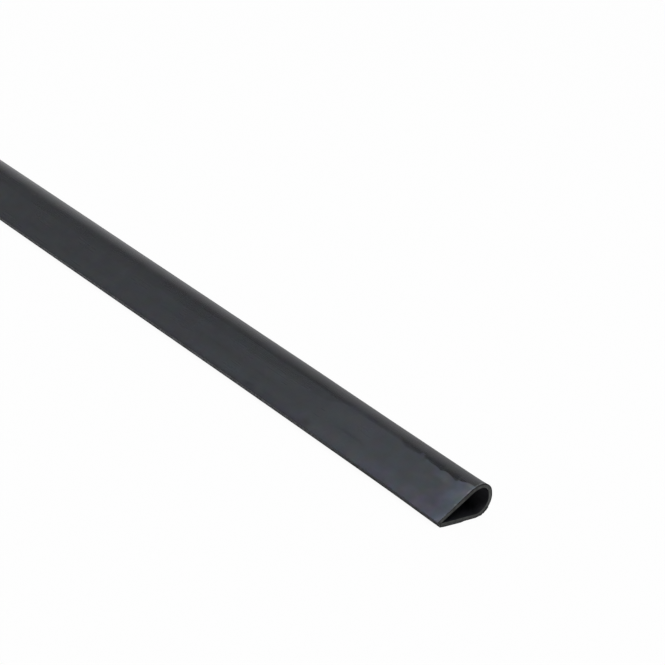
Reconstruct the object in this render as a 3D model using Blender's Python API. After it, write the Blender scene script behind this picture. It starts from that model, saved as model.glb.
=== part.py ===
"""PVC clamping profile: a one-piece extruded edge strip, modelled as a single solid.

The strip is one wall folded back on itself. The lower wall lies flat, the bend runs round
the back, and the upper wall comes down again until its lip presses on the lower lip.
Units are metres, +Z is up, +X runs along the length, and the lips face -Y.
The origin is the centre of the underside.
"""
import math

import bpy
from mathutils import Vector

LENGTH = 1.0
WIDTH = 0.015
WALL = 0.001
BEND_RADIUS = 0.00425
LIP_CLEARANCE = 0.00012
LIP_LAND = 0.0006
LOWER_LIP_SETBACK = 0.0007
LIP_ROUND = 0.00025

BEND_STEPS = 60
ROUND_STEPS = 4

PVC_COLOUR = (0.024, 0.025, 0.028, 1.0)
PVC_ROUGHNESS = 0.42


def clear_scene():
    """Empty the file that the script runs in."""
    for obj in list(bpy.data.objects):
        bpy.data.objects.remove(obj, do_unlink=True)


def bend_centre():
    """Centre of the round back, seen in the section."""
    return Vector((WIDTH - BEND_RADIUS, BEND_RADIUS))


def nose_corner(angle):
    """Outer corner of the upper lip, before it is rounded, when its wall rises at this angle.

    The rounded nose just reaches the front of the strip, and the flat land under the lip
    lies one clearance above the lower wall.
    """
    rounding = LIP_ROUND * (math.cos(angle) + math.sin(angle) - 1.0)
    bevel = LIP_LAND * math.sin(angle) * math.cos(angle)
    return Vector((-rounding, WALL + LIP_CLEARANCE - bevel + WALL * math.cos(angle)))


def closing_angle():
    """Angle of the upper wall that is tangent to the bend and sets its lip on the lower lip."""
    def miss(angle):
        reach = bend_centre() - nose_corner(angle)
        return reach.x * math.sin(angle) - reach.y * math.cos(angle) - BEND_RADIUS

    low = 0.0
    high = math.pi / 2
    while high - low > 1e-12:
        middle = (low + high) / 2
        if miss(middle) < 0:
            low = middle
        else:
            high = middle
    return (low + high) / 2


def arc(centre, radius, start, end, steps):
    """Points along a circular arc, both ends included."""
    points = []
    for step in range(steps + 1):
        turn = start + (end - start) * step / steps
        points.append(centre + Vector((math.cos(turn), math.sin(turn))) * radius)
    return points


def rounded_corner(corner, before, after, radius):
    """Arc that rounds the corner between the edges to the points before and after it."""
    to_before = (before - corner).normalized()
    to_after = (after - corner).normalized()
    half = to_before.angle(to_after) / 2
    centre = corner + (to_before + to_after).normalized() * (radius / math.sin(half))
    first = corner + to_before * (radius / math.tan(half)) - centre
    last = corner + to_after * (radius / math.tan(half)) - centre
    start = math.atan2(first.y, first.x)
    turn = math.atan2(first.cross(last), first.dot(last))
    return arc(centre, radius, start, start + turn, ROUND_STEPS)


def section_outline():
    """Outline of the section as (y, z) points, in one loop round the wall."""
    angle = closing_angle()
    along = Vector((math.cos(angle), math.sin(angle)))
    inward = Vector((math.sin(angle), -math.cos(angle)))

    nose = nose_corner(angle)
    land_front = nose + inward * (WALL - LIP_LAND * math.sin(angle))
    land_back = land_front + Vector((LIP_LAND, 0.0))

    bend = bend_centre()
    bend_top = math.pi / 2 + angle
    bend_bottom = -math.pi / 2
    outside = arc(bend, BEND_RADIUS, bend_top, bend_bottom, BEND_STEPS)
    inside = arc(bend, BEND_RADIUS - WALL, bend_bottom, bend_top, BEND_STEPS)

    lower_edge = Vector((LOWER_LIP_SETBACK, 0.0))
    lower_lip = Vector((LOWER_LIP_SETBACK, WALL))

    outline = rounded_corner(nose, land_front, nose + along, LIP_ROUND)
    outline += outside
    outline += rounded_corner(lower_edge, outside[-1], lower_lip, LIP_ROUND)
    outline += rounded_corner(lower_lip, lower_edge, inside[0], LIP_ROUND)
    outline += inside
    outline += [land_back, land_front]
    return outline


def pvc_material():
    """Black satin PVC, coloured through."""
    material = bpy.data.materials.new("black_pvc")
    material.use_nodes = True
    shader = material.node_tree.nodes["Principled BSDF"]
    shader.inputs["Base Color"].default_value = PVC_COLOUR
    shader.inputs["Roughness"].default_value = PVC_ROUGHNESS
    shader.inputs["Metallic"].default_value = 0.0
    return material


def clamping_profile(collection):
    """The extruded strip, cut square at both ends."""
    curve = bpy.data.curves.new("clamping_profile", "CURVE")
    curve.dimensions = "2D"
    curve.fill_mode = "BOTH"
    curve.extrude = LENGTH / 2
    outline = section_outline()
    spline = curve.splines.new("POLY")
    spline.points.add(len(outline) - 1)
    for point, place in zip(spline.points, outline):
        point.co = (place.x - WIDTH / 2, place.y, 0.0, 1.0)
    spline.use_cyclic_u = True
    curve.materials.append(pvc_material())
    profile = bpy.data.objects.new("clamping_profile", curve)
    profile.rotation_euler = (math.pi / 2, 0.0, math.pi / 2)
    collection.objects.link(profile)

    weld = profile.modifiers.new("join_caps", "WELD")
    weld.merge_threshold = 0.00001
    return profile


clear_scene()
parts = bpy.data.collections.new("pvc_clamping_profile")
bpy.context.scene.collection.children.link(parts)
clamping_profile(parts)
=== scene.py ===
import math

import bmesh
import bpy
from mathutils import Matrix, Vector, noise


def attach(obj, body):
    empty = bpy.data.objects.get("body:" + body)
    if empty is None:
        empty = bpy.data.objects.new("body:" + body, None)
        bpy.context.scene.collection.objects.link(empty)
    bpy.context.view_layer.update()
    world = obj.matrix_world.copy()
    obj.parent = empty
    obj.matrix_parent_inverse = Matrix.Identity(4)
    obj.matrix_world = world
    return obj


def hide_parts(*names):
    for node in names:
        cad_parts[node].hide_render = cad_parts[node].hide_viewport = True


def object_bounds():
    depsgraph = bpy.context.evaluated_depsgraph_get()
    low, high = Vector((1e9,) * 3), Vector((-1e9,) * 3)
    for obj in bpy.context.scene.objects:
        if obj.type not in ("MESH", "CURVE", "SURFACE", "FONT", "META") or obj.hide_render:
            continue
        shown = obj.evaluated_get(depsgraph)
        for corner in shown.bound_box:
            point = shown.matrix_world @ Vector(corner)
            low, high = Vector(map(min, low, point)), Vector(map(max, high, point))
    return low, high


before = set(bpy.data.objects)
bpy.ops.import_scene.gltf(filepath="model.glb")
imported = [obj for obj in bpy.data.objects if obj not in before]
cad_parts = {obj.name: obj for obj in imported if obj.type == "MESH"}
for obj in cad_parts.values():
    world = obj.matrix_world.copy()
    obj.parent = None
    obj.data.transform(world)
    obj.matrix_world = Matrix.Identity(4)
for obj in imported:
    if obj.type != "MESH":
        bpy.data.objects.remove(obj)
cad_low, cad_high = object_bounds()

# Camera
# A long lens looks down along the strip from its near end, on the side of the lips, and is
# rolled a little, so that the strip runs from the left edge down to the lower right.
MM = 0.001
near_corner = Vector((cad_high.x, cad_low.y, cad_low.z))
CAMERA_FROM_CORNER = Vector((294.46, -330.82, 232.92)) * MM
CAMERA_AZIMUTH = math.radians(44.373)
CAMERA_PITCH = math.radians(23.491)
CAMERA_ROLL = math.radians(10.603)
CAMERA_LENS = 124.05

forward = Vector((-math.cos(CAMERA_AZIMUTH) * math.cos(CAMERA_PITCH),
                  math.sin(CAMERA_AZIMUTH) * math.cos(CAMERA_PITCH),
                  -math.sin(CAMERA_PITCH)))
level_right = Vector((math.sin(CAMERA_AZIMUTH), math.cos(CAMERA_AZIMUTH), 0.0))
level_up = level_right.cross(forward)
right = level_right * math.cos(CAMERA_ROLL) + level_up * math.sin(CAMERA_ROLL)
up = level_up * math.cos(CAMERA_ROLL) - level_right * math.sin(CAMERA_ROLL)
turn = Matrix((right, up, -forward)).transposed()

camera = bpy.data.objects.new("camera", bpy.data.cameras.new("camera"))
camera.matrix_world = Matrix.Translation(near_corner + CAMERA_FROM_CORNER) @ turn.to_4x4()
camera.data.lens = CAMERA_LENS
camera.data.sensor_width = 36.0
camera.data.clip_start = 0.01
bpy.context.scene.collection.objects.link(camera)
bpy.context.scene.camera = camera

# Studio
# The strip lies on a white table. A bright scrim hangs over the far side of it, with a dimmer
# backdrop below, and the camera side of the room is dark. Two softboxes hang in line over
# the strip, the brighter one towards its near end, and a lamp lights the table from above.
bpy.context.scene.view_settings.view_transform = "Standard"

# Each row of the room's glow: how far the direction points away from the camera side (-1 to
# 1), and the light that comes from there.
ROOM_GLOW = ((-1.00, 0.05), (-0.55, 0.05), (-0.20, 0.02), (-0.05, 0.04), (0.02, 0.11),
             (0.16, 0.60), (0.24, 0.77), (0.40, 0.87), (0.57, 0.88), (0.69, 0.80),
             (0.80, 0.38), (1.00, 0.30))
ROOM_TINT = (1.0, 1.0, 1.02)
# Between these two X directions the room's strength falls and its edge slants. Glossy rays see
# the white background only at a share, because in full it would hide the dark of the room.
SCRIM_ENDS = (-0.80, -0.50)
SCRIM_FALL = (1.20, 0.53)
SCRIM_SLANT = (-0.07, 0.08)
GLOSSY_SHARE = 0.2


def add_node(tree, kind, inputs=None, **settings):
    """Add a shader node. Each of its inputs is given a value, or a socket to be linked from."""
    node = tree.nodes.new("ShaderNode" + kind)
    for name, value in settings.items():
        setattr(node, name, value)
    for name, value in (inputs or {}).items():
        if isinstance(value, bpy.types.NodeSocket):
            tree.links.new(value, node.inputs[name])
        else:
            node.inputs[name].default_value = value
    return node


def white_to_the_eye(tree, glossy_share):
    """Mask of the rays that see the white background rather than carry its light."""
    path = add_node(tree, "LightPath").outputs
    glossy = add_node(tree, "Math", {0: path["Is Glossy Ray"], 1: glossy_share},
                      operation="MULTIPLY")
    seen = add_node(tree, "Math", {0: path["Is Camera Ray"], 1: glossy.outputs[0]},
                    operation="MAXIMUM")
    either = add_node(tree, "Math", {0: seen.outputs[0], 1: path["Is Transmission Ray"]},
                      operation="MAXIMUM")
    return either.outputs[0]


room = bpy.data.worlds.new("room")
room.use_nodes = True
bpy.context.scene.world = room
tree = room.node_tree
tree.nodes.clear()
direction = add_node(tree, "SeparateXYZ", {0: add_node(tree, "TexCoord").outputs["Generated"]})
slant = add_node(tree, "MapRange", {"Value": direction.outputs["X"], "From Min": SCRIM_ENDS[0],
                                    "From Max": SCRIM_ENDS[1], "To Min": SCRIM_SLANT[0],
                                    "To Max": SCRIM_SLANT[1]})
depth = add_node(tree, "Math", {0: direction.outputs["Y"], 1: slant.outputs[0]},
                 operation="SUBTRACT")
depth = add_node(tree, "MapRange", {"Value": depth.outputs[0], "From Min": -1.0, "From Max": 1.0})
room_ramp = add_node(tree, "ValToRGB", {"Fac": depth.outputs[0]})
stops = room_ramp.color_ramp.elements
for number, (away, glow) in enumerate(ROOM_GLOW):
    place = (away + 1.0) / 2.0
    stop = stops[number] if number < 2 else stops.new(place)
    stop.position = place
    stop.color = (*[glow * tint for tint in ROOM_TINT], 1.0)
side = add_node(tree, "MapRange", {"Value": direction.outputs["X"], "From Min": SCRIM_ENDS[0],
                                   "From Max": SCRIM_ENDS[1], "To Min": SCRIM_FALL[0],
                                   "To Max": SCRIM_FALL[1]})
room_light = add_node(tree, "Background", {"Color": room_ramp.outputs["Color"],
                                           "Strength": side.outputs[0]})
room_seen = add_node(tree, "Background", {"Color": (1.0, 1.0, 1.0, 1.0)})
room_mix = add_node(tree, "MixShader", {0: white_to_the_eye(tree, GLOSSY_SHARE),
                                        1: room_light.outputs[0], 2: room_seen.outputs[0]})
add_node(tree, "OutputWorld", {"Surface": room_mix.outputs[0]})

TABLE_SIZE = 16.0
TABLE_COLOUR = (0.50, 0.50, 0.50)
TABLE_GLOW = 1.06
WHITE_SHARE = 0.90
table_mesh = bmesh.new()
bmesh.ops.create_grid(table_mesh, x_segments=1, y_segments=1, size=TABLE_SIZE / 2)
table_data = bpy.data.meshes.new("table")
table_mesh.to_mesh(table_data)
table_mesh.free()
table = bpy.data.objects.new("table", table_data)
bpy.context.scene.collection.objects.link(table)

table_white = bpy.data.materials.new("table_white")
table_white.use_nodes = True
tree = table_white.node_tree
tree.nodes.clear()
table_lit = add_node(tree, "BsdfDiffuse", {"Color": (*TABLE_COLOUR, 1.0)})
table_seen = add_node(tree, "Emission", {"Strength": TABLE_GLOW})
table_share = add_node(tree, "Math", {0: white_to_the_eye(tree, GLOSSY_SHARE), 1: WHITE_SHARE},
                       operation="MULTIPLY")
table_mix = add_node(tree, "MixShader", {0: table_share.outputs[0], 1: table_lit.outputs[0],
                                         2: table_seen.outputs[0]})
add_node(tree, "OutputMaterial", {"Surface": table_mix.outputs[0]})
table_data.materials.append(table_white)


def area_light(name, place, aim, size, power, colour):
    lamp = bpy.data.objects.new(name, bpy.data.lights.new(name, "AREA"))
    lamp.data.shape = "RECTANGLE"
    lamp.data.size = size[0]
    lamp.data.size_y = size[1]
    lamp.data.energy = power
    lamp.data.color = colour
    lamp.rotation_euler = (aim - place).to_track_quat("-Z", "Y").to_euler()
    lamp.location = place
    lamp.visible_camera = False
    bpy.context.scene.collection.objects.link(lamp)


area_light("softbox", place=Vector((-0.13, -0.40, 0.92)), aim=Vector((-0.13, -0.40, 0.0)),
           size=(0.46, 0.42), power=0.95, colour=(0.84, 0.92, 1.0))
area_light("far_softbox", place=Vector((-0.83, -0.40, 0.92)), aim=Vector((-0.83, -0.40, 0.0)),
           size=(0.94, 0.42), power=0.54, colour=(0.88, 0.94, 1.0))
area_light("top_light", place=Vector((0.75, 0.20, 1.80)), aim=Vector((0.40, 0.0, 0.0)),
           size=(1.0, 1.0), power=17.0, colour=(1.0, 1.0, 1.0))

# Clamping profile
# One length of black PVC, extruded as a single wall folded over a round back, so that its
# lips press together. It is sawn square, and the saw leaves a fine burr on the rim.
WIDTH = 15.0 * MM
WALL = 1.0 * MM
BEND_RADIUS = 4.25 * MM
SLOPE = math.radians(35.891)
SLOPE_WIDTH = 10.316 * MM
NOSE_REACH = 0.20 * MM
NOSE_STRETCH = 1.3 * MM
FINE_SLOPE = 1.6 * MM
FINE_BEND = math.radians(20.0)
LIP_SETBACK = 0.56 * MM
LIP_LAND = 0.8 * MM
LIP_BEAD = 0.15 * MM
SLOPE_STEPS = 22
FINE_SLOPE_STEPS = 14
FINE_BEND_STEPS = 13
BEND_STEPS = 62
BASE_STEPS = 10
ROW_STEPS = ([0.07, 0.09, 0.12, 0.16, 0.2] + [0.25] * 36 + [0.45] * 45 + [0.8] * 60
             + [1.6] * 60 + [9.0] * 75 + [1.6] * 20 + [0.8] * 15 + [0.4] * 20
             + [0.2, 0.16, 0.12, 0.09, 0.07])

up_slope = Vector((0.0, math.cos(SLOPE), math.sin(SLOPE)))
off_slope = Vector((0.0, -math.sin(SLOPE), math.cos(SLOPE)))
bend_centre = Vector((cad_high.x, cad_high.y - BEND_RADIUS, BEND_RADIUS))
tangent_point = bend_centre + off_slope * BEND_RADIUS
nose_point = tangent_point - up_slope * (SLOPE_WIDTH + NOSE_REACH)
lip_front = cad_high.y - WIDTH + LIP_SETBACK
length = cad_high.x - cad_low.x

# The outside of the section is drawn as one line: up the slope, round the bend and along
# the underside. It is then extruded to length, in rows that are closest near the cuts.
skin = bmesh.new()


def draw_line(start, direction, distance, steps):
    """Extrude a vertex along a straight line in equal steps, and give the last vertex."""
    for _ in range(steps):
        start = bmesh.ops.extrude_vert_indiv(skin, verts=[start])["verts"][0]
        start.co += direction * (distance / steps)
    return start


def draw_bend(start, angle, steps):
    """Spin a vertex round the bend's centre, and give the last vertex."""
    turned = bmesh.ops.spin(skin, geom=[start], cent=bend_centre, axis=(1, 0, 0),
                            angle=-angle, steps=steps)
    return [part for part in turned["geom_last"] if isinstance(part, bmesh.types.BMVert)][0]


last = draw_line(skin.verts.new(nose_point), up_slope, NOSE_STRETCH, 1)
last = draw_line(last, up_slope, SLOPE_WIDTH + NOSE_REACH - NOSE_STRETCH - FINE_SLOPE,
                 SLOPE_STEPS)
last = draw_line(last, up_slope, FINE_SLOPE, FINE_SLOPE_STEPS)
last = draw_bend(last, FINE_BEND, FINE_BEND_STEPS)
last = draw_bend(last, math.pi + SLOPE - FINE_BEND, BEND_STEPS)
last = draw_line(last, Vector((0.0, -1.0, 0.0)), last.co.y - lip_front, BASE_STEPS)

extruded = bmesh.ops.extrude_edge_only(skin, edges=skin.edges[:])["geom"]
far_verts = [part for part in extruded if isinstance(part, bmesh.types.BMVert)]
bmesh.ops.translate(skin, verts=far_verts, vec=(-length, 0.0, 0.0))
long_edges = [edge for edge in skin.edges
              if abs(edge.verts[0].co.x - edge.verts[1].co.x) > length / 2]
bmesh.ops.subdivide_edges(skin, edges=long_edges, cuts=len(ROW_STEPS) - 1)
row_places = [0.0]
for step in ROW_STEPS:
    row_places.append(row_places[-1] + step)
for vert in skin.verts:
    row = round((cad_high.x - vert.co.x) / length * len(ROW_STEPS))
    vert.co.x = cad_high.x - length * row_places[row] / row_places[-1]
bmesh.ops.recalc_face_normals(skin, faces=skin.faces[:])

# The die and the saw leave the wall a little uneven. The top of the slope leans towards the
# bend, and its line with the bend wanders. Near a cut that line is a scalloped crease, the
# bend flares and the lips spread. Heights and places are in mm, apart from the sway's, in m.
LIP_SWAY = 0.20
SWAY_PEAK = 0.325
SWAY_PERIOD = 0.21
LIP_SPREAD = 0.42
SPREAD_REACH = 12.0
BACK_RISE = 0.15
NEAR_RISE = 0.033
PLAIN_FROM = (40.0, 51.0)
LEAN_ANGLE = 0.028
LEAN_WIDTH = 2.2
CREASE_ANGLE = 0.105
# Each row of the crease: how far it is from the cut, and where it runs across.
CREASE = ((0.0, 1.00), (1.6, 0.95), (2.5, 0.75), (3.3, 0.35), (3.7, 0.20), (4.7, 0.02),
          (4.95, -0.52), (5.3, -0.46), (6.0, -0.36), (6.8, -0.18), (7.5, -0.05), (8.5, 0.05),
          (9.1, 0.02), (9.7, -0.15), (10.1, -0.44), (10.5, -0.42), (11.0, -0.26), (12.0, -0.16),
          (13.2, -0.20), (14.2, -0.18), (15.0, 0.04), (15.5, 0.02), (15.8, -0.24), (16.05, -0.26),
          (16.3, 0.75), (17.3, 0.80), (17.7, -0.08), (18.6, -0.06), (19.1, -0.18), (20.1, -0.16),
          (21.0, -0.34), (22.2, -0.30), (23.2, -0.10), (24.0, 0.25), (25.0, 0.85), (1000.0, 0.85))
FLARE = 0.14
BEND_LENGTH = BEND_RADIUS * (math.pi + SLOPE) / MM


def smooth_step(low, high, value):
    share = min(max((value - low) / (high - low), 0.0), 1.0)
    return share * share * (3.0 - 2.0 * share)


def ripple(x, period, across=0.0, seed=0.0):
    """Smooth noise from -1 to 1 along the strip, with the given period in mm."""
    return noise.noise(Vector((x / (period * MM), across, seed)))


def on_section(point):
    """Where a point lies round the outside, in mm from the slope's top line, and the
    direction that is outwards there."""
    arm = Vector((0.0, point.y - bend_centre.y, point.z - bend_centre.z))
    if arm.dot(off_slope) > 0.6 * BEND_RADIUS and arm.dot(up_slope) <= 1e-7:
        return arm.dot(up_slope) / MM, off_slope
    if arm.y < -1e-6 and point.z < BEND_RADIUS:
        return BEND_LENGTH - arm.y / MM, Vector((0.0, 0.0, -1.0))
    turned = math.atan2(arm.dot(up_slope), arm.dot(off_slope)) % math.tau
    return turned * BEND_RADIUS / MM, arm.normalized()


def lips_out(x, from_cut):
    """How far the lips stand out from the drawn section, in mm."""
    sway = LIP_SWAY * math.cos(math.tau * (x - SWAY_PEAK) / SWAY_PERIOD)
    return sway + LIP_SPREAD * math.exp(-(from_cut / SPREAD_REACH) ** 1.7)


def along_rows(rows, place):
    """Value between the two rows that a place lies between."""
    for (start, first), (end, second) in zip(rows, rows[1:]):
        if start <= place <= end:
            return first + (second - first) * (place - start) / (end - start)
    return rows[-1][1]


def fold(x, from_cut):
    """Where the skin starts to lean towards the bend, in mm from the slope's top line, and
    how sharp the crease is there, from 0 to 1."""
    line = along_rows(CREASE, from_cut)
    sharp = (1.0 - 0.3 * smooth_step(16.0, 18.0, from_cut)
             - 0.7 * smooth_step(22.0, 26.0, from_cut))
    ripples = 0.45 * ripple(x, 7.0, seed=2.0) + 0.25 * ripple(x, 2.6, seed=5.0)
    line += (ripples - LEAN_WIDTH - line) * smooth_step(*PLAIN_FROM, from_cut)
    return line, sharp


def swell(x, across, from_cut):
    """How far the skin stands off the drawn section, in mm."""
    line, sharp = fold(x, from_cut)
    angle = max(CREASE_ANGLE * sharp, LEAN_ANGLE * smooth_step(32.0, 51.0, from_cut))
    lean = angle * max(0.0, min(across, 0.0) - line)
    far = smooth_step(*PLAIN_FROM, from_cut)
    evened = angle * (0.35 + (LEAN_WIDTH - 0.35) * far)
    lean += (evened - lean) * smooth_step(0.0, 2.0, across)
    over = max(0.0, min(across, 0.5))
    lean += angle * over - sharp * over ** 2 / (2.0 * BEND_RADIUS / MM)
    lean *= 1.0 - smooth_step(0.5, 5.0, across)
    fine = 0.008 * (1.0 - smooth_step(20.0, 40.0, from_cut))
    uneven = 0.026 * ripple(x, 6.0, across * 0.35, 3.0) + fine * ripple(x, 2.2, across * 0.8, 7.0)
    uneven *= smooth_step(-1.2, 0.4, across) * (1.0 - smooth_step(2.5, 6.0, across))
    cloud = 0.016 * ripple(x, 24.0, across * 0.22, 4.0) + 0.005 * ripple(x, 7.0, across * 0.5, 9.0)
    flare = FLARE * math.exp(-from_cut / 1.6) * smooth_step(1.8, 3.6, across)
    flare *= 1.0 - smooth_step(6.2, 8.0, across)
    rise = BACK_RISE * smooth_step(14.0, 70.0, from_cut)
    rise *= 1.0 - smooth_step(185.0, 300.0, from_cut)
    rise += NEAR_RISE * (1.0 - smooth_step(22.0, 36.0, from_cut))
    rise *= smooth_step(0.5, 3.5, across) * (1.0 - smooth_step(4.8, 8.5, across))
    return uneven + cloud * (1.0 - smooth_step(6.0, 10.0, across)) - lean + flare + rise


# The bloom is a pale haze on the skin, and its pale bluish colour is painted sheen: it stands in
# for the softboxes' reflection, thickest near a cut and ending in the crease. Each row of a
# patch: its place along the strip in m, its place across, its reach along and its half width in
# mm, and its strength. Below zero, a patch of painted sheen is brighter and a matt patch glossier.
SHEEN_PATCHES = ((0.4305, -9.6, 1.6, 0.5, 0.060), (0.4520, -9.2, 1.2, 0.7, 0.030),
          (0.4955, -7.8, 1.4, 0.8, 0.140), (0.4925, -2.8, 0.9, 0.4, 0.060),
          (0.4926, -2.0, 1.0, 0.4, -0.060), (0.4922, -1.2, 2.9, 0.9, -0.240),
          (0.4968, -1.4, 2.2, 1.9, -0.150), (0.4843, -0.5, 0.9, 0.6, 0.100),
          (0.4945, -2.6, 2.5, 1.6, -0.120), (0.4895, -1.8, 1.3, 0.7, -0.120),
          (0.4988, -1.6, 0.9, 2.2, -0.120),
          (0.4970, -4.2, 1.5, 0.9, -0.070), (0.4370, -5.2, 0.4, 0.12, -0.200),
          (0.4480, -5.2, 0.4, 0.12, -0.160), (0.4440, -7.3, 0.4, 0.15, -0.140))
MATT = ((0.3360, -7.2, 6.0, 1.0, 0.22), (0.3500, -7.9, 4.5, 0.9, 0.26),
        (0.3530, -6.4, 3.0, 0.5, 0.14), (0.3950, -5.5, 9.0, 0.35, 0.20),
        (0.4120, -5.4, 8.0, 0.30, 0.16), (0.4300, -5.6, 10.0, 0.3, 0.12),
        (0.4640, -5.6, 4.0, 0.25, 0.22), (0.4305, -9.6, 1.6, 0.6, 0.40),
        (0.4380, -8.9, 5.0, 0.5, 0.14), (0.4010, -9.5, 2.5, 0.9, 0.20),
        (0.4520, -9.2, 1.5, 0.7, 0.18), (0.3700, -1.8, 12.0, 0.8, 0.16),
        (0.4300, -7.5, 2.0, 0.4, 0.12), (0.4955, -7.8, 1.4, 0.8, 0.15),
        (0.4922, -1.2, 2.9, 0.9, -0.06))


def matt_at(x, across):
    """How much a place has lost its polish, from 0 to 1."""
    matt = 0.05 * ripple(x, 11.0, across * 0.25, 21.0)
    for place, middle, reach, half, depth in MATT:
        away = ((x - place) / (reach * MM)) ** 2 + ((across - middle) / half) ** 2
        matt += depth * math.exp(-away) * (1.0 + 0.5 * ripple(x, 2.5, across * 0.7, 23.0))
    return matt


def bloom_and_sheen_at(x, across, from_cut):
    """How thick the pale bloom is, from 0 to 1. Its colour is painted sheen."""
    wander = from_cut + 3.0 * ripple(x, 9.0, across * 0.3, 6.0)
    near = math.exp(-from_cut / 9.0)
    thick = (0.034 + 0.017 * ripple(x, 40.0, seed=11.0) + 0.36 * near
             + 0.34 * math.exp(-from_cut / 2.4))
    thick += 0.066 * (1.0 - smooth_step(42.0, 54.0, wander))
    thick += 0.033 * (1.0 - smooth_step(12.0, 30.0, from_cut))
    thick += (0.023 + 0.10 * near) * ripple(x, 6.0, across * 0.3, 8.0)
    thick += (0.015 + 0.06 * near) * ripple(x, 2.4, across * 0.8, 1.0)
    by_nose = 1.0 - smooth_step(-10.1, -9.3, across)
    by_nose *= 1.0 - 0.65 * smooth_step(38.0, 60.0, from_cut)
    low = 1.0 - smooth_step(-9.0, -6.0, across)
    thick += low * (0.045 * (1.0 - smooth_step(90.0, 160.0, from_cut))
                    + 0.11 * (1.0 - smooth_step(18.0, 46.0, from_cut)))
    thick += 0.13 * by_nose * (1.0 + 0.6 * ripple(x, 2.0, seed=13.0))
    for place, middle, reach, half, depth in SHEEN_PATCHES:
        away = ((x - place) / (reach * MM)) ** 2 + ((across - middle) / half) ** 2
        thick -= depth * math.exp(-away)
    line, sharp = fold(x, from_cut)
    blur = (0.12 + 0.50 * (1.0 - sharp) * (1.0 - smooth_step(36.0, 48.0, from_cut))
            + 0.10 * (1.0 - sharp))
    return max(0.0, thick) * (1.0 - smooth_step(-blur, blur, across - line))


bloom_sheen_layer = skin.verts.layers.float.new("bloom_and_sheen")
matt_layer = skin.verts.layers.float.new("matt")
for vert in skin.verts:
    x = vert.co.x
    from_cut = min(cad_high.x - x, x - cad_low.x) / MM
    across, outwards = on_section(vert.co)
    if across < BEND_LENGTH:
        vert[bloom_sheen_layer] = bloom_and_sheen_at(x, across, from_cut)
        vert[matt_layer] = matt_at(x, across)
        held = smooth_step(0.0, 3.0, across + SLOPE_WIDTH / MM)
        spread = max(0.0, (tangent_point.y - vert.co.y) / (tangent_point.y - nose_point.y))
        spread *= across < 0.0
        vert.co += outwards * (swell(x, across, from_cut) * held * MM)
    else:
        spread = (tangent_point.y - vert.co.y) / (tangent_point.y - nose_point.y)
    vert.co.y -= lips_out(x, from_cut) * max(0.0, spread) ** 1.5 * MM

# The wall gets its thickness. Then the upper lip gets the land that closes on the lower lip,
# and the edges of both lips are rounded, as the die leaves them.
NOSE_ROUND = 0.10 * MM
LAND_ROUND = 0.06 * MM
LOWER_TOP_ROUND = 0.11 * MM
LOWER_BASE_ROUND = 0.28 * MM

bmesh.ops.solidify(skin, geom=skin.faces[:], thickness=WALL)
across_nose = [edge for edge in skin.edges
               if abs(edge.verts[0].co.x - edge.verts[1].co.x) < 0.001 * MM
               and abs(max(vert.co.z for vert in edge.verts) - nose_point.z) < 0.01 * MM
               and abs(edge.calc_length() - WALL) < 0.02 * MM]
split = bmesh.ops.subdivide_edges(skin, edges=across_nose, cuts=1)["geom_inner"]
for middle in [part for part in split if isinstance(part, bmesh.types.BMVert)]:
    mates = [edge.other_vert(middle) for edge in middle.link_edges]
    mates = [vert for vert in mates if abs(vert.co.x - middle.co.x) < 0.001 * MM]
    inner, outer = sorted(mates, key=lambda vert: vert.co.z)
    middle.co = outer.co - off_slope * (WALL - LIP_LAND * math.sin(SLOPE))
    inner.co = middle.co + Vector((0.0, LIP_LAND + LIP_BEAD, 0.0))
bmesh.ops.recalc_face_normals(skin, faces=skin.faces[:])


def long_corners(turn_from, turn_to, low, high):
    """Edges along the strip where the skin turns by such an angle, between two heights."""
    return [edge for edge in skin.edges
            if abs(edge.verts[0].co.x - edge.verts[1].co.x) > 0.03 * MM
            and low < edge.verts[0].co.z < high
            and math.radians(turn_from) < edge.calc_face_angle(0.0) < math.radians(turn_to)]


def round_edges(edges, offset, segments):
    bmesh.ops.bevel(skin, geom=edges, offset=offset, offset_type="OFFSET", segments=segments,
                    profile=0.5, affect="EDGES", material=-1)


round_edges(long_corners(75, 105, 1.3 * MM, 2.0 * MM), NOSE_ROUND, 3)
round_edges(long_corners(45, 65, 1.0 * MM, 1.2 * MM), LAND_ROUND, 2)
round_edges(long_corners(75, 105, 0.9 * MM, 1.05 * MM), LOWER_TOP_ROUND, 3)
round_edges(long_corners(75, 105, -0.1 * MM, 0.1 * MM), LOWER_BASE_ROUND, 5)
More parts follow.
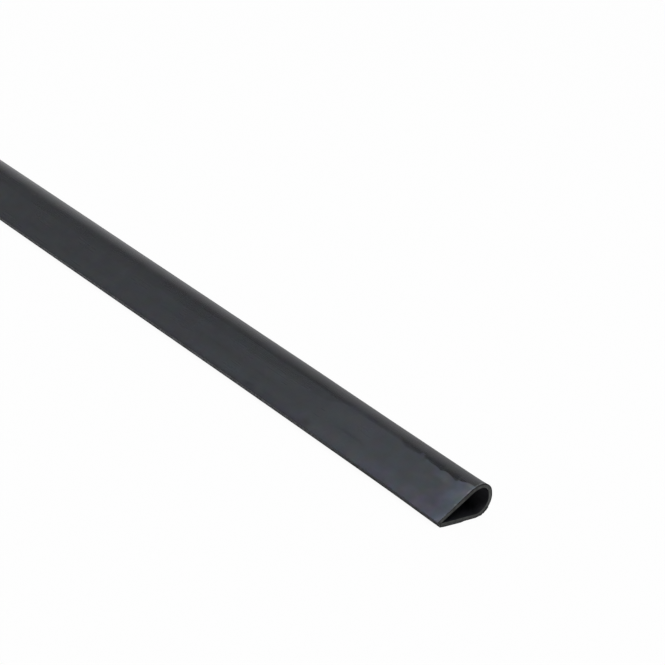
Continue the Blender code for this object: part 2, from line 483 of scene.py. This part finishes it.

# The fronts of the lips are painted pale low down: a painted highlight of the light that the
# white table throws onto them. In the hollow behind each cut lies a pale film: saw dust, with
# painted light that falls in from the open end, lightest on the inside of the bend. The saw also
# lifts the skin at the top of the slope a little. Each row of the painted highlight, far from a
# cut and near it: a height in mm, and how pale the front is there.
RIM_LIFT = 0.15
LIT_FRONT_FAR = ((-0.1, 1.0), (0.3, 1.0), (0.5, 1.0), (0.9, 0.65), (1.02, 0.0), (1.12, 0.0),
           (1.2, 0.05), (1.5, 0.08))
LIT_FRONT_NEAR = ((-0.1, 0.6), (0.3, 0.65), (0.5, 0.2), (0.9, 0.1), (1.05, 0.0), (1.2, 0.0), (1.5, 0.15))
lit_front_layer = skin.verts.layers.float.new("lit_front")
dust_light_layer = skin.verts.layers.float.new("dust_and_light")
lip_line = lip_front + 0.30 * MM
hollow_line = BEND_RADIUS - 0.9 * WALL
for vert in skin.verts:
    from_cut = min(cad_high.x - vert.co.x, vert.co.x - cad_low.x) / MM
    front = lip_line - lips_out(vert.co.x, from_cut) * MM
    if vert.co.y < front and vert.co.z < 1.50 * MM:
        away = smooth_step(32.0, 62.0, from_cut)
        vert[lit_front_layer] = (along_rows(LIT_FRONT_NEAR, vert.co.z / MM) * (1.0 - away)
                              + along_rows(LIT_FRONT_FAR, vert.co.z / MM) * away)
    arm = Vector((0.0, vert.co.y - bend_centre.y, vert.co.z - bend_centre.z))
    height, across = arm.dot(off_slope), arm.dot(up_slope)
    depth = arm.length if across > 0.0 or arm.y > 0.0 else height
    # Painted light with saw dust: the hollow near each cut is made paler, most on the inside of the
    # bend, fading away from the cut.
    if vert.co.z > 0.9 * WALL and depth < hollow_line:
        behind = smooth_step(-2.0, 2.0, arm.y / MM) * smooth_step(1.0, 2.2, vert.co.z / MM)
        vert[dust_light_layer] = ((0.12 + 0.88 * behind) * (0.5 + 0.5 * smooth_step(0.0, 4.0, from_cut))
                              * math.exp(-max(0.0, from_cut) / 14.0))
    elif across < 0.8 * MM and height > BEND_RADIUS - 0.3 * WALL and from_cut < 3.0:
        top = smooth_step(-7.5, -4.5, across / MM) * (1.0 - smooth_step(0.0, 0.8, across / MM))
        vert.co += off_slope * (RIM_LIFT * top * math.exp(-max(0.0, from_cut) / 0.7) * MM)

# The saw tears the skin a little at each cut. A thin burr stands round the outer rim, highest
# where the blade left the wall, with a dark groove behind it. Each row below: where it starts
# and ends round the outside in mm, and its height in mm or its strength.
BURR_WIDTH = 0.09 * MM
GROOVE_WIDTH = 0.27 * MM
GROOVE_DEPTH = 0.12
BURR_HEIGHT = 0.03
BURRS = ((-1.5, 0.0, 0.06), (-5.5, -5.0, 0.10), (-9.3, -8.4, 0.08), (-10.4, -9.7, 0.08),
         (0.0, 3.6, 0.05), (11.4, 14.6, 0.28), (19.8, 30.0, 0.36))
# The next three tables paint pale highlights along the cut's edges, with some stress whitening.
WHITENING_AND_HIGHLIGHT = ((-1.5, -0.3, 0.75), (0.1, 3.0, 0.26), (-2.9, -2.0, 0.12), (-5.35, -5.0, 0.50),
            (-8.6, -8.3, 0.25), (-9.4, -9.1, 0.25), (-10.3, -9.9, 0.30))
PALE_RIM_HIGHLIGHT = ((-10.4, -7.6, 0.16), (-7.6, -4.8, 0.08))
INNER_EDGE_HIGHLIGHT = ((2.0, 11.5, 0.10), (12.5, 24.0, 0.06))
# Painted shade: spans where the burr and its groove are darkened to near black, for the shade
# behind the burr. Each row: where it starts and ends round the outside in mm, and its strength.
GROOVE_SHADE = ((-1.7, 0.1, 1.0), (0.1, 4.4, 0.8), (6.8, 12.0, 0.3), (12.6, 14.2, 0.6),
           (18.8, 22.0, 0.5), (24.0, 30.0, 0.8))
SAWN = 1
RIM = 2


def along_rim(rows, across):
    """Value of the row that holds this place round the rim, with soft ends."""
    return max([value * smooth_step(start - 0.2, start + 0.2, across)
                * (1.0 - smooth_step(end - 0.2, end + 0.2, across))
                for start, end, value in rows])


def is_outside(point):
    """Whether a point of the cut lies in the outer half of the wall."""
    arm = Vector((0.0, point.y - bend_centre.y, point.z - bend_centre.z))
    across, _ = on_section(point)
    if across < 0.0:
        return arm.dot(off_slope) > BEND_RADIUS - WALL / 2
    if across < BEND_LENGTH:
        return arm.length > BEND_RADIUS - WALL / 2
    return point.z < WALL / 2


whitening_highlight_layer = skin.verts.layers.float.new("whitening_and_highlight")
groove_shade_layer = skin.verts.layers.float.new("smear_and_shade")
for outwards in (1.0, -1.0):
    cut = cad_high.x if outwards > 0.0 else cad_low.x
    cut_faces = [face for face in skin.faces if abs(face.normal.x) > 0.99
                 and abs(face.calc_center_median().x - cut) < 0.01 * MM]
    rim = {vert for face in cut_faces for vert in face.verts if is_outside(vert.co)}
    for width in (BURR_WIDTH, GROOVE_WIDTH):
        ring_faces = bmesh.ops.inset_region(skin, faces=cut_faces, thickness=width,
                                            use_boundary=True, use_even_offset=True)["faces"]
        for face in ring_faces:
            outside = is_outside(face.calc_center_median())
            face.material_index = RIM if outside else SAWN
        if width == BURR_WIDTH:
            groove = {vert for face in cut_faces for vert in face.verts if is_outside(vert.co)}
    for face in cut_faces:
        face.material_index = SAWN
    for vert in groove:
        vert.co.x -= outwards * GROOVE_DEPTH * MM
        vert[groove_shade_layer] = along_rim(GROOVE_SHADE, on_section(vert.co)[0])
    for vert in rim:
        across, _ = on_section(vert.co)
        vert[groove_shade_layer] = along_rim(GROOVE_SHADE, across)
        torn_and_highlight = 1.0 + 0.6 * noise.noise(Vector((outwards * 5.0, across * 2.6, 0.0)))
        vert.co.x += outwards * (BURR_HEIGHT + along_rim(BURRS, across)) * torn_and_highlight * MM

# The skin behind the rim is painted pale where it was bent up: stress whitening, with a painted
# highlight streak where the lifted edge catches the light. The lower part of the slope's rim and
# the inner edge of the cut are painted a little lighter, as painted highlights on those edges.
for vert in skin.verts:
    from_cut = min(cad_high.x - vert.co.x, vert.co.x - cad_low.x) / MM
    if from_cut > 1.0:
        continue
    across, _ = on_section(vert.co)
    if is_outside(vert.co):
        reach = smooth_step(0.08, 0.24, from_cut) * (1.0 - smooth_step(0.28, 0.50, from_cut))
        torn_and_highlight = 1.0 + 0.4 * noise.noise(Vector((vert.co.x * 900.0, across * 2.6, 0.0)))
        vert[whitening_highlight_layer] = min(1.0, along_rim(WHITENING_AND_HIGHLIGHT, across) * torn_and_highlight * reach)
        if from_cut < 0.02:
            vert[whitening_highlight_layer] = along_rim(PALE_RIM_HIGHLIGHT, across)
    elif from_cut < 0.02:
        vert[whitening_highlight_layer] = along_rim(INNER_EDGE_HIGHLIGHT, across)

strip_data = bpy.data.meshes.new("pvc_strip")
skin.to_mesh(strip_data)
skin.free()
strip_data.shade_smooth()
strip_data.set_sharp_from_angle(angle=math.radians(35))
pvc_strip = bpy.data.objects.new("pvc_strip", strip_data)
bpy.context.scene.collection.objects.link(pvc_strip)


def new_group(name, inputs, outputs):
    """Start a node group, and give it with its input sockets."""
    group = bpy.data.node_groups.new(name, "ShaderNodeTree")
    for socket, kind in inputs:
        group.interface.new_socket(socket, in_out="INPUT", socket_type="NodeSocket" + kind)
    for socket, kind in outputs:
        group.interface.new_socket(socket, in_out="OUTPUT", socket_type="NodeSocket" + kind)
    return group, group.nodes.new("NodeGroupInput").outputs


def close_group(group, results):
    """Link the group's results to its outputs."""
    output = group.nodes.new("NodeGroupOutput")
    for name, socket in results.items():
        group.links.new(socket, output.inputs[name])


def use_group(tree, group, inputs):
    """Place a node group in a material, and give its outputs."""
    return add_node(tree, "Group", inputs, node_tree=group).outputs


def mix_colour(tree, share, first, second, blend="MIX"):
    """Mix of two colours, as a socket."""
    return add_node(tree, "Mix", {0: share, 6: first, 7: second}, data_type="RGBA",
                    blend_type=blend).outputs[2]


def math_node(tree, operation, *values):
    """Result of a sum on values or sockets, as a socket."""
    return add_node(tree, "Math", dict(enumerate(values)), operation=operation).outputs[0]


def map_range(tree, value, low, high, new_low, new_high):
    """A value brought smoothly from one range to another, as a socket."""
    return add_node(tree, "MapRange", {0: value, 1: low, 2: high, 3: new_low, 4: new_high},
                    interpolation_type="SMOOTHSTEP").outputs[0]


# Settled dust: a thin uneven film with a few bright specks.
DUST_COLOUR = (0.36, 0.35, 0.33, 1.0)
dust, given = new_group("settled_dust",
                        (("Colour", "Color"), ("Place", "Vector"), ("Film", "Float"),
                         ("Specks", "Float")),
                        (("Colour", "Color"), ("Mask", "Float")))
film = add_node(dust, "TexNoise", {"Vector": given["Place"], "Scale": 0.35, "Detail": 4.0})
film = map_range(dust, film.outputs["Fac"], 0.45, 0.75, 0.0, 1.0)
film = math_node(dust, "MULTIPLY", film, given["Film"])
speck = add_node(dust, "TexVoronoi", {"Vector": given["Place"], "Scale": 0.55})
small = map_range(dust, speck.outputs["Distance"], 0.03, 0.09, 1.0, 0.0)
chosen = add_node(dust, "SeparateColor", {0: speck.outputs["Color"]}).outputs[0]
chosen = map_range(dust, chosen, 0.80, 0.95, 0.0, 1.0)
small = math_node(dust, "MULTIPLY", math_node(dust, "MULTIPLY", small, chosen), given["Specks"])
mask = math_node(dust, "MAXIMUM", film, small)
close_group(dust, {"Colour": mix_colour(dust, mask, given["Colour"], DUST_COLOUR),
                   "Mask": mask})

# Pale plastic: PVC turns pale where it is stretched or rubbed, and painted highlights on the
# cut's edges are mixed in with the same pale grey.
WHITENING_HIGHLIGHT_COLOUR = (0.50, 0.53, 0.53, 1.0)
whitening_and_highlight_pvc, given = new_group("whitening_and_highlight_pvc",
                            (("Colour", "Color"), ("Place", "Vector"), ("Whitening_Highlight", "Float")),
                            (("Colour", "Color"), ("Mask", "Float")))
fray = add_node(whitening_and_highlight_pvc, "TexNoise", {"Vector": given["Place"], "Scale": 3.2, "Detail": 3.0})
fray = map_range(whitening_and_highlight_pvc, fray.outputs["Fac"], 0.30, 0.62, 0.35, 1.15)
mask = math_node(whitening_and_highlight_pvc, "MINIMUM", math_node(whitening_and_highlight_pvc, "MULTIPLY", given["Whitening_Highlight"], fray), 1.0)
close_group(whitening_and_highlight_pvc, {"Colour": mix_colour(whitening_and_highlight_pvc, mask, given["Colour"], WHITENING_HIGHLIGHT_COLOUR),
                       "Mask": mask})

# Fine lines, as a die or a saw draws them. The lines run along the place's first axis.
fine_lines, given = new_group("fine_lines", (("Place", "Vector"), ("Spacing", "Float"),
                                            ("Detail", "Float")),
                              (("Height", "Float"), ("Tone", "Float")))
stretched = add_node(fine_lines, "VectorMath", {0: given["Place"], 1: (0.02, 1.0, 1.0)},
                     operation="MULTIPLY").outputs[0]
rate = math_node(fine_lines, "DIVIDE", 1.0, given["Spacing"])
lines = add_node(fine_lines, "TexNoise", {"Vector": stretched, "Scale": rate,
                                          "Detail": given["Detail"], "Roughness": 0.65})
tone = map_range(fine_lines, lines.outputs["Fac"], 0.30, 0.70, 0.0, 1.0)
close_group(fine_lines, {"Height": lines.outputs["Fac"], "Tone": tone})


def start_material(name, place_settings):
    """Start a material, and give its tree, its shader and its place in mm."""
    material = bpy.data.materials.new(name)
    material.use_nodes = True
    tree = material.node_tree
    place = add_node(tree, "Mapping", {"Vector": add_node(tree, "TexCoord").outputs["Object"],
                                       **place_settings}).outputs[0]
    return material, tree, tree.nodes["Principled BSDF"], place


def attribute(tree, name):
    return add_node(tree, "Attribute", attribute_name=name).outputs["Fac"]


# Black PVC, coloured through. The die polishes the skin and draws fine lines along it. The
# place is turned so that its second axis runs up the slope.
SKIN_DARK = (0.0152, 0.0166, 0.0212, 1.0)
# Pale bluish colour of the bloom, which paints sheen onto the skin.
SKIN_BLOOM_SHEEN = (0.1570, 0.1665, 0.2230, 1.0)
# Pale grey of the painted highlight on the fronts of the lips.
SKIN_LIT_FRONT = (0.690, 0.700, 0.745, 1.0)
# Grey of the hollow's pale film: saw dust and painted light.
SKIN_DUST_LIT = (0.115, 0.115, 0.128, 1.0)
SKIN_ROUGHNESS = 0.265
DIE_LINE_DEPTH = 0.0005 * MM
PVC_IOR = 1.5
slope_start = Vector((cad_high.x, tangent_point.dot(up_slope), tangent_point.dot(off_slope))) / MM
pvc, tree, shader, place = start_material("black_pvc", {
    "Scale": (1.0 / MM, 1.0 / MM, 1.0 / MM), "Rotation": (-SLOPE, 0.0, 0.0),
    "Location": -slope_start})
cloud = add_node(tree, "TexNoise", {"Vector": place, "Scale": 0.16, "Detail": 3.0})
cloud_share = map_range(tree, cloud.outputs["Fac"], 0.3, 0.7, 0.75, 1.25)
# Painted sheen: near the cuts the skin is mixed towards a pale bluish colour, for the softboxes'
# reflection.
bloom_and_sheen = math_node(tree, "MULTIPLY", attribute(tree, "bloom_and_sheen"), cloud_share)
colour = mix_colour(tree, bloom_and_sheen, SKIN_DARK, SKIN_BLOOM_SHEEN)
tints = add_node(tree, "TexNoise", {"Vector": place, "Scale": 0.30, "Detail": 1.0})
tint = add_node(tree, "VectorMath", {0: tints.outputs["Color"], 1: (1.8, 1.8, 1.8),
                                     2: (0.1, 0.1, 0.1)}, operation="MULTIPLY_ADD").outputs[0]
colour = mix_colour(tree, 0.42, colour, tint, "MULTIPLY")
lines = use_group(tree, fine_lines, {"Place": place, "Spacing": 0.55, "Detail": 2.0})
line_shade = map_range(tree, lines["Tone"], 0.0, 1.0, 0.975, 1.025)
shade = add_node(tree, "CombineColor", {0: line_shade, 1: line_shade, 2: line_shade}).outputs[0]
colour = mix_colour(tree, 1.0, colour, shade, "MULTIPLY")
# Painted highlight: low on the fronts of the lips the skin is mixed towards pale grey, for the
# table's light.
lit_front_mask = add_node(tree, "TexNoise", {"Vector": place, "Scale": 1.4, "Detail": 2.0})
lit_front_mask = map_range(tree, lit_front_mask.outputs["Fac"], 0.38, 0.60, 0.45, 1.0)
lit_front_mask = math_node(tree, "MULTIPLY", lit_front_mask, attribute(tree, "lit_front"))
colour = mix_colour(tree, lit_front_mask, colour, SKIN_LIT_FRONT)
# Painted light in the hollow near each cut, with saw dust: a mix towards grey.
colour = mix_colour(tree, attribute(tree, "dust_and_light"), colour, SKIN_DUST_LIT)
dusty = use_group(tree, dust, {"Colour": colour, "Place": place, "Film": 0.012, "Specks": 0.20})
# Painted highlight streak behind the rim, with stress whitening.
torn_and_highlight = use_group(tree, whitening_and_highlight_pvc, {"Colour": dusty["Colour"], "Place": place,
                                  "Whitening_Highlight": attribute(tree, "whitening_and_highlight")})
tree.links.new(torn_and_highlight["Colour"], shader.inputs["Base Color"])
roughness = math_node(tree, "MULTIPLY_ADD", lines["Tone"], 0.03, SKIN_ROUGHNESS)
roughness = math_node(tree, "MULTIPLY_ADD", bloom_and_sheen, 0.35, roughness)
roughness = math_node(tree, "MULTIPLY_ADD", torn_and_highlight["Mask"], 0.35, roughness)
roughness = math_node(tree, "MULTIPLY_ADD", attribute(tree, "dust_and_light"), 0.45, roughness)
roughness = math_node(tree, "ADD", attribute(tree, "matt"), roughness)
tree.links.new(roughness, shader.inputs["Roughness"])
bump = add_node(tree, "Bump", {"Height": lines["Height"], "Strength": 1.0,
                               "Distance": DIE_LINE_DEPTH})
tree.links.new(bump.outputs[0], shader.inputs["Normal"])
shader.inputs["IOR"].default_value = PVC_IOR
strip_data.materials.append(pvc)

# The sawn face: the same PVC, roughened to a grey by the teeth, which leave slanting marks.
SAWN_DARK = (0.042, 0.045, 0.039, 1.0)
SAWN_PALE = (0.130, 0.134, 0.127, 1.0)
SAWN_ROUGHNESS = 0.50
SAW_MARK_DEPTH = 0.05 * MM
SAW_TILT = math.radians(62.0)
sawn, tree, shader, place = start_material("sawn_pvc", {
    "Scale": (1.0 / MM, 1.0 / MM, 1.0 / MM)})
marks_place = add_node(tree, "Mapping", {"Vector": place,
                                         "Rotation": (0.0, SAW_TILT, math.pi / 2)})
marks = use_group(tree, fine_lines, {"Place": marks_place.outputs[0], "Spacing": 0.22,
                                   "Detail": 5.0})
patch = add_node(tree, "TexNoise", {"Vector": place, "Scale": 0.9, "Detail": 3.0})
patch = map_range(tree, patch.outputs["Fac"], 0.35, 0.65, 0.0, 0.6)
sides = add_node(tree, "SeparateXYZ", {0: place}).outputs
patch = math_node(tree, "ADD", patch, map_range(tree, sides["Y"], 3.0, 7.0, -0.12, 0.30))
grey = math_node(tree, "MULTIPLY_ADD", marks["Tone"], 0.4, patch)
colour = mix_colour(tree, grey, SAWN_DARK, SAWN_PALE)
dusty = use_group(tree, dust, {"Colour": colour, "Place": place, "Film": 0.05, "Specks": 0.3})
# Painted highlight along the inner edge of the cut.
torn_and_highlight = use_group(tree, whitening_and_highlight_pvc, {"Colour": dusty["Colour"], "Place": place,
                                  "Whitening_Highlight": attribute(tree, "whitening_and_highlight")})
tree.links.new(torn_and_highlight["Colour"], shader.inputs["Base Color"])
roughness = math_node(tree, "MULTIPLY_ADD", marks["Tone"], 0.18, SAWN_ROUGHNESS)
tree.links.new(roughness, shader.inputs["Roughness"])
bump = add_node(tree, "Bump", {"Height": marks["Height"], "Strength": 1.0,
                               "Distance": SAW_MARK_DEPTH})
tree.links.new(bump.outputs[0], shader.inputs["Normal"])
shader.inputs["IOR"].default_value = PVC_IOR
strip_data.materials.append(sawn)

# The rim of the cut, where the blade's heat smeared the skin smooth and dark. In some spans
# the burr and its groove are painted near black, as painted shade behind the burr.
RIM_DARK = (0.036, 0.036, 0.038, 1.0)
RIM_PALE = (0.068, 0.069, 0.072, 1.0)
# Near black of the painted shade behind the burr.
RIM_SHADE = (0.003, 0.003, 0.0035, 1.0)
RIM_ROUGHNESS = 0.40
RIM_IOR = 1.35
rim_pvc, tree, shader, place = start_material("smeared_rim", {
    "Scale": (1.0 / MM, 1.0 / MM, 1.0 / MM)})
smear_and_shade = add_node(tree, "TexNoise", {"Vector": place, "Scale": 2.0, "Detail": 3.0})
smear_and_shade = map_range(tree, smear_and_shade.outputs["Fac"], 0.3, 0.7, 0.0, 1.0)
colour = mix_colour(tree, smear_and_shade, RIM_DARK, RIM_PALE)
# Painted shade: near black in the spans listed above, for the shade behind the burr.
colour = mix_colour(tree, attribute(tree, "smear_and_shade"), colour, RIM_SHADE)
# Painted highlight on the lower part of the slope's rim.
torn_and_highlight = use_group(tree, whitening_and_highlight_pvc, {"Colour": colour, "Place": place,
                                  "Whitening_Highlight": attribute(tree, "whitening_and_highlight")})
tree.links.new(torn_and_highlight["Colour"], shader.inputs["Base Color"])
roughness = math_node(tree, "MULTIPLY_ADD", smear_and_shade, 0.15, RIM_ROUGHNESS)
tree.links.new(roughness, shader.inputs["Roughness"])
shader.inputs["IOR"].default_value = RIM_IOR
strip_data.materials.append(rim_pvc)

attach(pvc_strip, "root")
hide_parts("clamping_profile")
